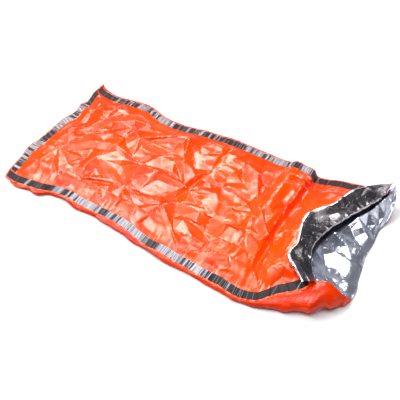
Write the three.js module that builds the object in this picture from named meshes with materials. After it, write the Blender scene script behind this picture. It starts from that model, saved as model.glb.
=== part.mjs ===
// An emergency sleeping bag of thin metallised film, laid out flat on a floor with its mouth
// open and the end of its top film turned back as a cuff. Millimetres, +Z up, +X from the
// foot to the mouth, +Y towards the side whose mouth corner stands up.
import * as THREE from "three";

// Driving dimensions
const FILM = 1.0; // thickness of each film as modelled
const GAP = 0.3; // clearance between pieces that touch
const TAPE = 1.0; // thickness of the seam tape as modelled
const TAPE_INSET = 7; // from the cut edge of the top film to the tape
const TAPE_WIDTH = 45;
const LAP = TAPE_INSET + TAPE_WIDTH; // where the two films are sealed together
const CUFF_RADIUS = 9; // of the fold in which the top film turns back
const TAPE_END = 60; // the side tapes stop this far short of that fold, under the cuff
const MARGIN_FLAT = 38; // from the cut edge, before the top film starts to climb
const EDGE_RISE = 115; // over this width the top film climbs from its seam to its crown
const BODY_LENGTH = 1830; // along the film from the foot to the cuff's fold
const FOOT_WAVES = 260; // how far the waves of the foot's edge run into the body
const MOUTH_START = 0.72; // share of the length beyond which the rows turn to the fold's line
const FOLD_FADE = 60; // the main folds fade out over this distance from the margins
const FOLDS_END = 1560; // distance from the foot at which they start to fade under the cuff
const FOOT_SLOPE = 60; // over this length the underside comes down from the foot's margin
const CUFF_ARCH = 14; // how far the cuff bulges up between its fold and its edge

// Rows round the cuff's fold, as angles from its tip, and back to the cuff's edge.
const FOLD_ANGLES = [-54, -18, 18, 54, 90];
const CUFF_ROWS = 4;
// Columns across the top film, as distances from the nearer cut edge and then as shares
// of the width that is left between them.
const EDGE_COLUMNS = [0, TAPE_INSET, TAPE_INSET + TAPE_WIDTH / 2, LAP, 95];
const MIDDLE_COLUMNS = 16;
// Rows along the films, as distances from the foot, and then evenly to the cuff's fold.
const FOOT_ROWS = [0, TAPE_INSET, TAPE_INSET + TAPE_WIDTH / 2, LAP, 85, 120, 160];
const BODY_ROWS = 40;

// Cut edge of the top film on the near side, from the foot to the cuff's fold: x, y, height.
const NEAR_SEAM = [
  { x: -1003, y: -424, z: 5 },
  { x: -905, y: -438, z: 14 },
  { x: -776, y: -416, z: 17 },
  { x: -690, y: -388, z: 19 },
  { x: -612, y: -381, z: 20 },
  { x: -518, y: -386, z: 21 },
  { x: -385, y: -383, z: 20 },
  { x: -257, y: -382, z: 20 },
  { x: -137, y: -405, z: 21 },
  { x: -38, y: -415, z: 22 },
  { x: 90, y: -419, z: 22 },
  { x: 178, y: -422, z: 22 },
  { x: 250, y: -427, z: 22 },
  { x: 353, y: -431, z: 21 },
  { x: 434, y: -434, z: 21 },
  { x: 500, y: -430, z: 23 },
  { x: 554, y: -412, z: 28 },
  { x: 592, y: -376, z: 39 },
  { x: 630, y: -334, z: 50 },
  { x: 672, y: -304, z: 60 },
  { x: 722, y: -262, z: 68 },
  { x: 748, y: -212, z: 70 },
];

// Cut edge of the top film on the far side. It is pinched up beyond x = 300 and stands up
// as a hood at the mouth.
const FAR_SEAM = [
  { x: -1034, y: 490, z: 6 },
  { x: -1000, y: 464, z: 9 },
  { x: -930, y: 441, z: 12 },
  { x: -745, y: 464, z: 12 },
  { x: -630, y: 468, z: 13 },
  { x: -505, y: 437, z: 12 },
  { x: -380, y: 439, z: 12 },
  { x: -230, y: 469, z: 13 },
  { x: -60, y: 491, z: 12 },
  { x: 90, y: 493, z: 12 },
  { x: 225, y: 491, z: 14 },
  { x: 285, y: 487, z: 20 },
  { x: 318, y: 479, z: 50 },
  { x: 340, y: 474, z: 72 },
  { x: 395, y: 470, z: 68 },
  { x: 443, y: 466, z: 66 },
  { x: 468, y: 464, z: 32 },
  { x: 500, y: 468, z: 30 },
  { x: 560, y: 476, z: 40 },
  { x: 690, y: 486, z: 72 },
  { x: 790, y: 492, z: 92 },
  { x: 838, y: 494, z: 96 },
];

// Cut edge at the foot, from the near corner to the far corner.
const FOOT_EDGE = [
  { x: -1003, y: -420 },
  { x: -1018, y: -370 },
  { x: -1034, y: -260 },
  { x: -1052, y: -182 },
  { x: -1042, y: -97 },
  { x: -1039, y: 0 },
  { x: -1039, y: 100 },
  { x: -1018, y: 200 },
  { x: -1034, y: 275 },
  { x: -1016, y: 310 },
  { x: -1034, y: 396 },
  { x: -1034, y: 490 },
];

// Plan line of the fold in which the top film turns back, from near to far.
const CUFF_FOLD = [
  { x: 748, y: -212 },
  { x: 696, y: -138 },
  { x: 660, y: -62 },
  { x: 660, y: 6 },
  { x: 679, y: 87 },
  { x: 716, y: 184 },
  { x: 760, y: 282 },
  { x: 800, y: 367 },
  { x: 838, y: 494 },
];

// Edge of the cuff, from its pointed near corner to the far seam: x, y, height.
const CUFF_RIM = [
  { x: 703, y: -258, z: 96 },
  { x: 645, y: -207, z: 96 },
  { x: 604, y: -177, z: 97 },
  { x: 580, y: -138, z: 98 },
  { x: 594, y: -85, z: 106 },
  { x: 578, y: -30, z: 108 },
  { x: 556, y: 53, z: 110 },
  { x: 557, y: 107, z: 112 },
  { x: 588, y: 158, z: 116 },
  { x: 640, y: 215, z: 122 },
  { x: 664, y: 285, z: 126 },
  { x: 690, y: 350, z: 128 },
  { x: 735, y: 418, z: 126 },
  { x: 812, y: 478, z: 122 },
];

// Height of the top film's middle above the line between its seams, by distance from the foot.
const CROWN = [
  { at: 0, rise: 0 },
  { at: LAP, rise: 0 },
  { at: 115, rise: 14 },
  { at: 210, rise: 25 },
  { at: 400, rise: 28 },
  { at: 900, rise: 24 },
  { at: 1180, rise: 22 },
  { at: 1330, rise: 26 },
  { at: 1450, rise: 22 },
  { at: 1510, rise: 26 },
  { at: 1600, rise: 40 },
  { at: 1700, rise: 38 },
  { at: 1850, rise: 28 },
];

// Main folds of the top film: a ridge has a positive height and a trough a negative one.
// Each runs from (x1, y1) to (x2, y2), with its half width and its height.
const TOP_FOLDS = [
  { x1: -855, y1: -125, x2: -745, y2: 10, width: 55, height: 11 },
  { x1: -745, y1: 10, x2: -595, y2: 60, width: 55, height: 12 },
  { x1: -595, y1: 60, x2: -380, y2: 15, width: 50, height: 12 },
  { x1: -380, y1: 15, x2: -100, y2: 10, width: 45, height: 9 },
  { x1: -810, y1: 65, x2: -700, y2: 330, width: 60, height: -10 },
  { x1: -520, y1: 180, x2: -290, y2: 350, width: 55, height: 11 },
  { x1: -620, y1: -250, x2: -385, y2: -150, width: 60, height: -11 },
  { x1: -385, y1: -150, x2: -135, y2: -170, width: 45, height: 9 },
  { x1: -40, y1: 410, x2: -50, y2: 195, width: 45, height: -11 },
  { x1: -50, y1: 195, x2: -105, y2: -115, width: 45, height: -10 },
  { x1: -130, y1: -165, x2: 95, y2: -350, width: 45, height: 9 },
  { x1: -55, y1: -110, x2: 400, y2: -90, width: 40, height: 7 },
  { x1: -15, y1: -165, x2: 395, y2: -200, width: 40, height: -8 },
  { x1: 65, y1: 105, x2: 245, y2: 110, width: 45, height: -7 },
  { x1: 185, y1: 300, x2: 290, y2: 105, width: 45, height: 13 },
  { x1: 290, y1: 105, x2: 430, y2: -60, width: 45, height: 14 },
  { x1: 425, y1: 150, x2: 455, y2: -25, width: 50, height: -11 },
  { x1: 455, y1: -25, x2: 500, y2: -285, width: 50, height: -13 },
  { x1: 245, y1: 250, x2: 415, y2: 350, width: 50, height: -16 },
  { x1: 330, y1: 430, x2: 410, y2: 400, width: 50, height: 22 },
];

// Outer line of the bottom film on the near side, where it bulges out beyond the seam.
const NEAR_BULGE = [
  { x: -1003, y: -432 },
  { x: -905, y: -448 },
  { x: -780, y: -438 },
  { x: -690, y: -397 },
  { x: -612, y: -391 },
  { x: -518, y: -405 },
  { x: -405, y: -392 },
  { x: -244, y: -404 },
  { x: -108, y: -420 },
  { x: 90, y: -436 },
  { x: 333, y: -440 },
  { x: 447, y: -439 },
  { x: 540, y: -430 },
  { x: 673, y: -380 },
  { x: 779, y: -336 },
  { x: 850, y: -262 },
  { x: 902, y: -206 },
  { x: 925, y: -162 },
];
const FAR_BULGE = 8; // how far the bottom film shows beyond the seam on the far side
const LEAST_BULGE = 6; // the least that it shows on the near side

// Upper edge of the bottom film beyond the cuff's fold, from each seam to the rim.
const NEAR_CREST = [
  { x: 760, y: -210, z: 64 },
  { x: 797, y: -192, z: 76 },
  { x: 845, y: -195, z: 68 },
  { x: 895, y: -186, z: 40 },
  { x: 925, y: -155, z: 12 },
];
const FAR_CREST = [
  { x: 846, y: 500, z: 88 },
  { x: 857, y: 514, z: 100 },
  { x: 862, y: 528, z: 112 },
  { x: 866, y: 534, z: 116 },
  { x: 868, y: 534, z: 112 },
];

// Rim of the bottom film at the mouth, from the near crest to the far one: x, y, height.
const MOUTH_RIM = [
  { x: 925, y: -155, z: 12 },
  { x: 926, y: -83, z: 3 },
  { x: 915, y: -43, z: 1 },
  { x: 903, y: 37, z: 1 },
  { x: 889, y: 111, z: 4 },
  { x: 892, y: 222, z: 3 },
  { x: 888, y: 306, z: 1 },
  { x: 898, y: 360, z: 10 },
  { x: 902, y: 415, z: 40 },
  { x: 894, y: 475, z: 80 },
  { x: 868, y: 534, z: 112 },
];
const RIM_ROWS = 8;
const CREST_WIDTH = 0.12; // share of a margin's width that is left along a free crest
const CREST_START = 0.35; // share of the way to the rim over which a margin narrows to it

// Folds of the bottom film that show in the open mouth.
const MOUTH_FOLDS = [
  { x1: 740, y1: -120, x2: 880, y2: -70, width: 40, height: 20 },
  { x1: 730, y1: -20, x2: 860, y2: 35, width: 36, height: 22 },
  { x1: 760, y1: 90, x2: 875, y2: 135, width: 36, height: 20 },
  { x1: 780, y1: 200, x2: 880, y2: 205, width: 34, height: 24 },
  { x1: 800, y1: 312, x2: 870, y2: 352, width: 34, height: 22 },
];

// Columns across the bottom film.
const NOSE_STEPS = 6; // round each long edge
const FLOOR_COLUMNS = 10;
const CURL = 12; // width of the underside's rounding at a long edge

const FILM_COLOR = 0xe8430f;
const TAPE_COLOR = 0x6a625e;
const SETTINGS = {
  film: { roughness: 0.3, metalness: 0.45 },
  tape: { roughness: 0.45, metalness: 0.3 },
};

const lerp = THREE.MathUtils.lerp;
const smooth = (t) => THREE.MathUtils.smoothstep(t, 0, 1);

// A smooth line through a table's points, asked by its share of the length.
function lineThrough(table) {
  const points = table.map(({ x, y, z = 0 }) => new THREE.Vector3(x, y, z));
  const curve = new THREE.CatmullRomCurve3(points, false, "centripetal");
  curve.arcLengthDivisions = 400;
  return (share) => curve.getPointAt(THREE.MathUtils.clamp(share, 0, 1));
}

const nearSeam = lineThrough(NEAR_SEAM);
const farSeam = lineThrough(FAR_SEAM);
const footEdge = lineThrough(FOOT_EDGE);
const cuffFold = lineThrough(CUFF_FOLD);
const cuffRim = lineThrough(CUFF_RIM);
const nearCrest = lineThrough(NEAR_CREST);
const farCrest = lineThrough(FAR_CREST);
const mouthRim = lineThrough(MOUTH_RIM);

// Reads a table at a place between its rows.
function lookUp(table, key, value, at) {
  const after = table.findIndex((row) => row[key] >= at);
  if (after < 0) return table.at(-1)[value];
  if (after === 0) return table[0][value];
  const low = table[after - 1];
  const high = table[after];
  return lerp(low[value], high[value], smooth((at - low[key]) / (high[key] - low[key])));
}

// Height that a table of folds adds at a point, rounded at each fold's sides and ends.
function foldLift(folds, x, y) {
  let lift = 0;
  for (const fold of folds) {
    const along = new THREE.Vector2(fold.x2 - fold.x1, fold.y2 - fold.y1);
    const from = new THREE.Vector2(x - fold.x1, y - fold.y1);
    const share = THREE.MathUtils.clamp(from.dot(along) / along.lengthSq(), 0, 1);
    const distance = from.distanceTo(along.multiplyScalar(share));
    lift += fold.height * (1 - smooth(distance / fold.width));
  }
  return lift;
}

// How far a curve leaves the straight line between its ends, at a share of its length.
function bow(curve, share) {
  return curve(share).sub(curve(0).lerp(curve(1), share));
}

// Outer face of the top film between the foot and the cuff's fold, at a share u across it
// and a distance along it.
function topPoint(u, distance) {
  const v = Math.min(distance / BODY_LENGTH, 1);
  const near = nearSeam(v);
  const far = farSeam(v);
  const width = near.distanceTo(far);
  const point = near.lerp(far, u);
  point.addScaledVector(bow(footEdge, u), 1 - smooth(distance / FOOT_WAVES));
  point.addScaledVector(bow(cuffFold, u), smooth((v - MOUTH_START) / (1 - MOUTH_START)));
  const fromSeam = Math.min(u, 1 - u) * width;
  const inside = smooth((fromSeam - MARGIN_FLAT) / EDGE_RISE);
  const clear = smooth((fromSeam - LAP) / FOLD_FADE) * smooth((distance - LAP) / FOLD_FADE);
  const open = 1 - smooth((distance - FOLDS_END) / (2 * FOLD_FADE));
  point.z += lookUp(CROWN, "at", "rise", distance) * inside;
  point.z += foldLift(TOP_FOLDS, point.x, point.y) * clear * open;
  return point;
}

// Distances from the foot of the rows that both films share.
function bodyRows() {
  const last = FOOT_ROWS.at(-1);
  const rows = [...FOOT_ROWS];
  for (let i = 1; i <= BODY_ROWS; i++)
    rows.push(lerp(last, BODY_LENGTH, i / BODY_ROWS));
  return rows;
}

// Shares across a row of the top film, whose edge columns keep their distance from the edge.
function columnShares(width) {
  const edges = EDGE_COLUMNS.map((d) => d / width);
  const last = edges.at(-1);
  const shares = [...edges];
  for (let i = 1; i < MIDDLE_COLUMNS; i++)
    shares.push(lerp(last, 1 - last, i / MIDDLE_COLUMNS));
  return [...shares, ...edges.map((share) => 1 - share).reverse()];
}

// Rows of points on the top film's outer face from the foot to the edge of the cuff.
function topRows() {
  const rows = bodyRows().map((distance) => {
    const v = distance / BODY_LENGTH;
    const shares = columnShares(nearSeam(v).distanceTo(farSeam(v)));
    return shares.map((u) => topPoint(u, distance));
  });
  const shares = columnShares(nearSeam(1).distanceTo(farSeam(1)));
  const last = rows.at(-1);
  const before = rows.at(-3);
  const forward = last.map((p, i) => p.clone().sub(before[i]).setZ(0).normalize());
  const centre = last.map((p) => p.clone().setZ(p.z + CUFF_RADIUS));
  for (const degrees of FOLD_ANGLES) {
    const angle = THREE.MathUtils.degToRad(degrees);
    rows.push(centre.map((c, i) => c.clone()
      .addScaledVector(forward[i], CUFF_RADIUS * Math.cos(angle))
      .setZ(c.z + CUFF_RADIUS * Math.sin(angle))));
  }
  const turned = rows.at(-1);
  for (let k = 1; k <= CUFF_ROWS; k++) {
    const share = k / CUFF_ROWS;
    const arch = CUFF_ARCH * 4 * share * (1 - share);
    rows.push(turned.map((p, i) => {
      const point = p.clone().lerp(cuffRim(shares[i]), share);
      return point.setZ(point.z + arch);
    }));
  }
  return rows;
}

// Normals of a grid of points, from the differences between its neighbours.
function gridNormals(rows) {
  return rows.map((row, j) => row.map((_, i) => {
    const along = rows[Math.min(j + 1, rows.length - 1)][i].clone()
      .sub(rows[Math.max(j - 1, 0)][i]);
    const across = row[Math.min(i + 1, row.length - 1)].clone()
      .sub(row[Math.max(i - 1, 0)]);
    return along.cross(across).normalize();
  }));
}

// Moves a grid of points along its normals.
function offsetGrid(rows, normals, distance) {
  return rows.map((row, j) => row.map((p, i) =>
    p.clone().addScaledVector(normals[j][i], distance)));
}

// A closed sheet between two grids of points, of which the first is the upper one when
// +X runs along the rows' order and +Y across them. A flipped column has its quads split
// along the other diagonal.
function sheetBetween(upper, lower, isFlipped = () => false) {
  const rows = upper.length;
  const columns = upper[0].length;
  const positions = [...upper.flat(), ...lower.flat()].flatMap((p) => p.toArray());
  const at = (layer, j, i) => layer * rows * columns + j * columns + i;
  const index = [];
  const quad = (a, b, c, d) => index.push(a, b, c, a, c, d);
  for (let j = 0; j < rows - 1; j++)
    for (let i = 0; i < columns - 1; i++) {
      const corners = [[j, i], [j + 1, i], [j + 1, i + 1], [j, i + 1]];
      if (isFlipped(i)) corners.push(corners.shift());
      quad(...corners.map((corner) => at(0, ...corner)));
      const [a, b, c, d] = corners.map((corner) => at(1, ...corner));
      quad(a, d, c, b);
    }
  for (let j = 0; j < rows - 1; j++) {
    const end = columns - 1;
    quad(at(1, j, 0), at(1, j + 1, 0), at(0, j + 1, 0), at(0, j, 0));
    quad(at(0, j, end), at(0, j + 1, end), at(1, j + 1, end), at(1, j, end));
  }
  for (let i = 0; i < columns - 1; i++) {
    const end = rows - 1;
    quad(at(0, 0, i), at(0, 0, i + 1), at(1, 0, i + 1), at(1, 0, i));
    quad(at(1, end, i), at(1, end, i + 1), at(0, end, i + 1), at(0, end, i));
  }
  const geometry = new THREE.BufferGeometry();
  geometry.setAttribute("position", new THREE.Float32BufferAttribute(positions, 3));
  geometry.setIndex(index);
  geometry.computeVertexNormals();
  return geometry;
}

// Points round one long edge of the bottom film, from under the seam's cut edge out to the
// bulge and back on to the floor. The side is -1 for the near edge and 1 for the far one.
function edgeNose(cut, bulge, floor, side) {
  const points = [];
  for (let k = 1; k <= NOSE_STEPS; k++) {
    const angle = (Math.PI * k) / NOSE_STEPS;
    const reach = k * 2 <= NOSE_STEPS ? Math.abs(cut.y - bulge) : CURL;
    const y = bulge - side * reach * (1 - Math.sin(angle));
    const z = lerp(floor, cut.z, (1 + Math.cos(angle)) / 2);
    points.push(new THREE.Vector3(cut.x, y, z));
  }
  return points;
}

// Height of the underside where the foot is sealed. It leaves room for the margins, which
// lie between it and the top film at the corners.
function floorUnderFoot(topHeight, distance) {
  const layers = 3 * FILM + 2 * GAP;
  return Math.max(topHeight - layers, 0) * (1 - smooth((distance - LAP) / FOOT_SLOPE));
}

// One row across the bottom film between the foot and the cuff's fold. Its margins lie
// under those of the top film.
function bodyRow(margins, distance) {
  const lap = [3, 2, 1, 0];
  const nearLap = lap.map((i) => margins[i].clone());
  const farLap = lap.map((i) => margins.at(-1 - i).clone()).reverse();
  const near = nearLap.at(-1);
  const far = farLap[0];
  const bulge = Math.min(lookUp(NEAR_BULGE, "x", "y", near.x), near.y - LEAST_BULGE);
  const height = (u) => floorUnderFoot(topPoint(u, distance).z, distance);
  const nearNose = edgeNose(near, bulge, height(0), -1);
  const farNose = edgeNose(far, far.y + FAR_BULGE, height(1), 1).reverse();
  const floor = [];
  for (let k = 1; k < FLOOR_COLUMNS; k++) {
    const u = k / FLOOR_COLUMNS;
    const x = topPoint(u, distance).x;
    const y = lerp(nearNose.at(-1).y, farNose[0].y, u);
    floor.push(new THREE.Vector3(x, y, height(u)));
  }
  return [...nearLap, ...nearNose, ...floor, ...farNose, ...farLap];
}

// One row of the bottom film beyond the cuff's fold, at a share of the way to the rim. Its
// side walls end in free crests, into which the margins narrow.
function mouthRow(last, share) {
  const lap = EDGE_COLUMNS.slice(0, 4).reverse();
  const narrow = lerp(1, CREST_WIDTH, smooth(share / CREST_START));
  const nearTop = nearCrest(share);
  const farTop = farCrest(share);
  const nearLap = lap.map((d) => nearTop.clone().setY(nearTop.y + d * narrow));
  const farLap = lap.map((d) => farTop.clone().setY(farTop.y - d * narrow)).reverse();
  const bulge = Math.min(lookUp(NEAR_BULGE, "x", "y", nearTop.x), nearTop.y - LEAST_BULGE);
  const nearNose = edgeNose(nearTop, bulge, 0, -1);
  const rest = last.slice(lap.length + NOSE_STEPS, -lap.length);
  const open = rest.map((p, i) => {
    const point = p.clone().lerp(mouthRim((i + 1) / rest.length), share);
    point.z += foldLift(MOUTH_FOLDS, point.x, point.y) * smooth(share / CREST_START);
    return point;
  });
  return [...nearLap, ...nearNose, ...open, ...farLap];
}

// Rows of points on the bottom film's outer face from the foot to the rim of the mouth.
function bottomRows(top, normals) {
  const distances = bodyRows();
  const margins = offsetGrid(top, normals, -(FILM + GAP));
  const rows = distances.map((distance, j) => bodyRow(margins[j], distance));
  const last = rows.at(-1);
  for (let k = 1; k <= RIM_ROWS; k++) rows.push(mouthRow(last, k / RIM_ROWS));
  return rows;
}

// A part of a grid of points, from one row and column to another.
function partOf(rows, fromRow, toRow, fromColumn, toColumn) {
  return rows.slice(fromRow, toRow + 1).map((row) => row.slice(fromColumn, toColumn + 1));
}

function part(name, geometry, color, { roughness, metalness }) {
  const material = new THREE.MeshStandardMaterial({ color, roughness, metalness });
  const mesh = new THREE.Mesh(geometry, material);
  mesh.name = name;
  return mesh;
}

// A tape laid on the outer face of the top film over part of its grid.
function tapeOn(name, grid, normals) {
  const upper = offsetGrid(grid, normals, GAP + TAPE);
  const lower = offsetGrid(grid, normals, GAP);
  return part(name, sheetBetween(upper, lower), TAPE_COLOR, SETTINGS.tape);
}

// The foot's tape runs between the two side tapes and stays clear of them.
function shortenEnds(grid) {
  return grid.map((row) => {
    const ends = [row[0].distanceTo(row[1]), row.at(-1).distanceTo(row.at(-2))];
    const first = row[0].clone().lerp(row[1], (GAP * 2) / ends[0]);
    const last = row.at(-1).clone().lerp(row.at(-2), (GAP * 2) / ends[1]);
    return [first, ...row.slice(1, -1), last];
  });
}

const top = topRows();
const topNormals = gridNormals(top);
const bottom = bottomRows(top, topNormals);
const bottomNormals = gridNormals(bottom);

const bag = new THREE.Group();

const topSheet = sheetBetween(top, offsetGrid(top, topNormals, -FILM));
bag.add(part("top_film", topSheet, FILM_COLOR, SETTINGS.film));

// The margins' quads are split like those of the top film above them.
const isMargin = (i) => i < 3 || i >= bottom[0].length - 4;
const bottomSheet = sheetBetween(offsetGrid(bottom, bottomNormals, FILM), bottom, isMargin);
bag.add(part("bottom_film", bottomSheet, FILM_COLOR, SETTINGS.film));

const tapeEnd = bodyRows().filter((distance) => distance < BODY_LENGTH - TAPE_END).length - 1;
const lastColumn = top[0].length - 1;
const sides = [
  { name: "seam_tape_near", from: 1, to: 3 },
  { name: "seam_tape_far", from: lastColumn - 3, to: lastColumn - 1 },
];
for (const { name, from, to } of sides)
  bag.add(tapeOn(name, partOf(top, 1, tapeEnd, from, to), partOf(topNormals, 1, tapeEnd, from, to)));

const footGrid = shortenEnds(partOf(top, 1, 3, 3, lastColumn - 3));
const footNormals = partOf(topNormals, 1, 3, 3, lastColumn - 3);
bag.add(tapeOn("seam_tape_foot", footGrid, footNormals));

// The origin is on the floor, under the middle of the bag's plan.
const group = new THREE.Group();
group.add(bag);
const box = new THREE.Box3().setFromObject(bag);
const middle = box.getCenter(new THREE.Vector3());
bag.position.set(-middle.x, -middle.y, -box.min.z);

export default group;
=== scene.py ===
"""Looks of an emergency sleeping bag of thin metallised film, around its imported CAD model.

The bag lies flat with its mouth open and the end of its top film turned back as a cuff. The
film is orange outside and silver inside. Sizes in the tables are millimetres on the floor, in
the frame of the part's own tables, and they become metres where a mesh is made.
"""

from __future__ import annotations

import logging
import math
from dataclasses import dataclass, field
from enum import Enum
from typing import NamedTuple, Sequence

import bpy
import numpy as np
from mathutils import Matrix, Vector
from mathutils.geometry import delaunay_2d_cdt


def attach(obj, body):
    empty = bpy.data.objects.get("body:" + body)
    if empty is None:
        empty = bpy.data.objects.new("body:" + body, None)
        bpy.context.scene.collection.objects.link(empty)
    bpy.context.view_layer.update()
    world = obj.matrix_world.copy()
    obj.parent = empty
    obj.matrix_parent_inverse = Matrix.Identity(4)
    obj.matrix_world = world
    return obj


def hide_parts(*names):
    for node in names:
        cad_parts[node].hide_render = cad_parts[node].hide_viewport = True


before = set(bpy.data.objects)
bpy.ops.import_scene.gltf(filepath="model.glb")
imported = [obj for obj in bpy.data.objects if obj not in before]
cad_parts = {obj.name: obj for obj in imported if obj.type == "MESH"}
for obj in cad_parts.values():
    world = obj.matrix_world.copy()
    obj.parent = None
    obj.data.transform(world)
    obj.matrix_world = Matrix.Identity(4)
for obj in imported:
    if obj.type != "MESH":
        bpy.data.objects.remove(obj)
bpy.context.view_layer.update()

log = logging.getLogger("sleeping_bag")

MM = 0.001
ORIGIN = np.array([62.08, -43.39, 0.0])  # adds to a table's place to give the part's frame, mm
BODY = "root"

# Sizes that the part's source states too, mm
TAPE_INSET = 7.0
TAPE_WIDTH = 45.0
LAP = TAPE_INSET + TAPE_WIDTH
CUFF_RADIUS = 9.0
TAPE_END = 25.0
MARGIN_FLAT = 38.0
EDGE_RISE = 115.0
BODY_LENGTH = 1830.0
FOOT_WAVES = 260.0
MOUTH_START = 0.72
FOOT_SLOPE = 60.0
CURL = 12.0

# Adds to a floor place as y and x to give places across and along that are never negative
FLOOR_CORNER = np.array([560.0, 1080.0])

# Sizes of the finer meshes made here, mm
FILM = 0.5
GAP = 0.3
PITCH = 6.6
LEAST_HEIGHT = 4.0  # of the top film's outer face, so that the layers below it have room


class Spot(NamedTuple):
    """A point of an edge or a fold line."""

    x: float
    y: float
    z: float = 0.0


class Fold(NamedTuple):
    """A straight crease from (x1, y1) to (x2, y2), with the end's share of its height."""

    x1: float
    y1: float
    x2: float
    y2: float
    height: float
    tip: float = 1.0


NEAR_SEAM = [
    Spot(-1003, -424, 5), Spot(-905, -438, 14), Spot(-776, -416, 17), Spot(-690, -388, 19),
    Spot(-612, -381, 20), Spot(-518, -386, 21), Spot(-385, -383, 20), Spot(-257, -382, 20),
    Spot(-137, -405, 21), Spot(-38, -415, 22), Spot(90, -419, 22), Spot(178, -422, 22),
    Spot(250, -427, 22), Spot(353, -431, 21), Spot(434, -434, 21), Spot(500, -430, 23),
    Spot(554, -412, 28), Spot(592, -376, 39), Spot(630, -334, 50), Spot(672, -304, 60),
    Spot(722, -262, 74), Spot(748, -212, 84),
]
FAR_SEAM = [
    Spot(-1034, 490, 6), Spot(-1000, 464, 9), Spot(-930, 441, 12), Spot(-745, 464, 12),
    Spot(-630, 468, 13), Spot(-505, 437, 12), Spot(-380, 439, 12), Spot(-230, 469, 13),
    Spot(-60, 491, 12), Spot(90, 493, 12), Spot(225, 491, 14), Spot(285, 487, 20),
    Spot(318, 479, 50), Spot(340, 474, 72), Spot(395, 470, 68), Spot(443, 466, 66),
    Spot(468, 464, 32), Spot(500, 468, 30), Spot(560, 476, 40), Spot(690, 486, 72),
    Spot(790, 492, 92), Spot(838, 494, 96),
]
FOOT_EDGE = [
    Spot(-1003, -420), Spot(-1018, -370), Spot(-1034, -260), Spot(-1052, -182),
    Spot(-1042, -97), Spot(-1039, 0), Spot(-1039, 100), Spot(-1018, 200), Spot(-1034, 275),
    Spot(-1016, 310), Spot(-1034, 396), Spot(-1034, 490),
]
CUFF_FOLD = [
    Spot(748, -212), Spot(696, -138), Spot(660, -62), Spot(660, 6), Spot(679, 87),
    Spot(716, 184), Spot(760, 282), Spot(800, 367), Spot(838, 494),
]
CUFF_RIM = [
    Spot(706, -256, 94), Spot(645, -207, 96), Spot(604, -177, 97), Spot(580, -138, 98),
    Spot(594, -85, 106), Spot(578, -30, 108), Spot(556, 53, 110), Spot(557, 107, 112),
    Spot(588, 158, 116), Spot(640, 215, 122), Spot(664, 285, 126), Spot(690, 350, 128),
    Spot(745, 424, 127), Spot(848, 512, 122),
]
NEAR_BULGE = [
    Spot(-1003, -432), Spot(-905, -448), Spot(-780, -438), Spot(-690, -397),
    Spot(-612, -391), Spot(-518, -405), Spot(-405, -392), Spot(-244, -404),
    Spot(-108, -420), Spot(90, -436), Spot(333, -440), Spot(447, -439), Spot(540, -430),
    Spot(673, -380), Spot(779, -336), Spot(850, -262), Spot(902, -206), Spot(925, -162),
]
FAR_BULGE = 8.0
LEAST_BULGE = 6.0
NEAR_CREST = [
    Spot(756, -206, 84), Spot(800, -186, 96), Spot(845, -190, 88), Spot(895, -184, 52),
    Spot(925, -155, 14),
]
FAR_CREST = [
    Spot(846, 500, 88), Spot(857, 514, 100), Spot(862, 528, 112), Spot(866, 534, 116),
    Spot(868, 534, 112),
]
MOUTH_RIM = [
    Spot(925, -155, 12), Spot(926, -83, 3), Spot(915, -43, 1), Spot(903, 37, 1),
    Spot(889, 111, 4), Spot(892, 222, 3), Spot(888, 306, 1), Spot(898, 360, 10),
    Spot(902, 415, 40), Spot(894, 475, 80), Spot(868, 534, 112),
]
CREST_WIDTH = 0.12
CREST_START = 0.03

# Distance from the foot and height of the crown above the seams there
CROWN = [
    (0, 0), (52, 0), (115, 14), (210, 25), (400, 28), (900, 24), (1180, 22), (1330, 26),
    (1450, 22), (1510, 26), (1600, 40), (1700, 34), (1780, 18), (1850, 8),
]

# Main folds of the top film, which the part's solids have too: a trough is negative
TOP_FOLDS = [
    Fold(-855, -125, -745, 10, 11),
    Fold(-745, 10, -595, 60, 12),
    Fold(-595, 60, -380, 15, 12),
    Fold(-380, 15, -100, 10, 9),
    Fold(-810, 65, -700, 330, -10),
    Fold(-520, 180, -290, 350, 11),
    Fold(-620, -250, -385, -150, -11),
    Fold(-385, -150, -135, -170, 9),
    Fold(-40, 410, -50, 195, -11),
    Fold(-50, 195, -105, -115, -10),
    Fold(-130, -165, 95, -350, 9),
    Fold(-55, -110, 400, -90, 7),
    Fold(-15, -165, 395, -200, -8),
    Fold(65, 105, 245, 110, -7),
    Fold(185, 300, 290, 105, 13),
    Fold(290, 105, 430, -60, 14),
    Fold(425, 150, 455, -25, -11),
    Fold(455, -25, 500, -285, -13),
    Fold(245, 250, 415, 350, -16),
    Fold(330, 430, 410, 400, 22),
]

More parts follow.
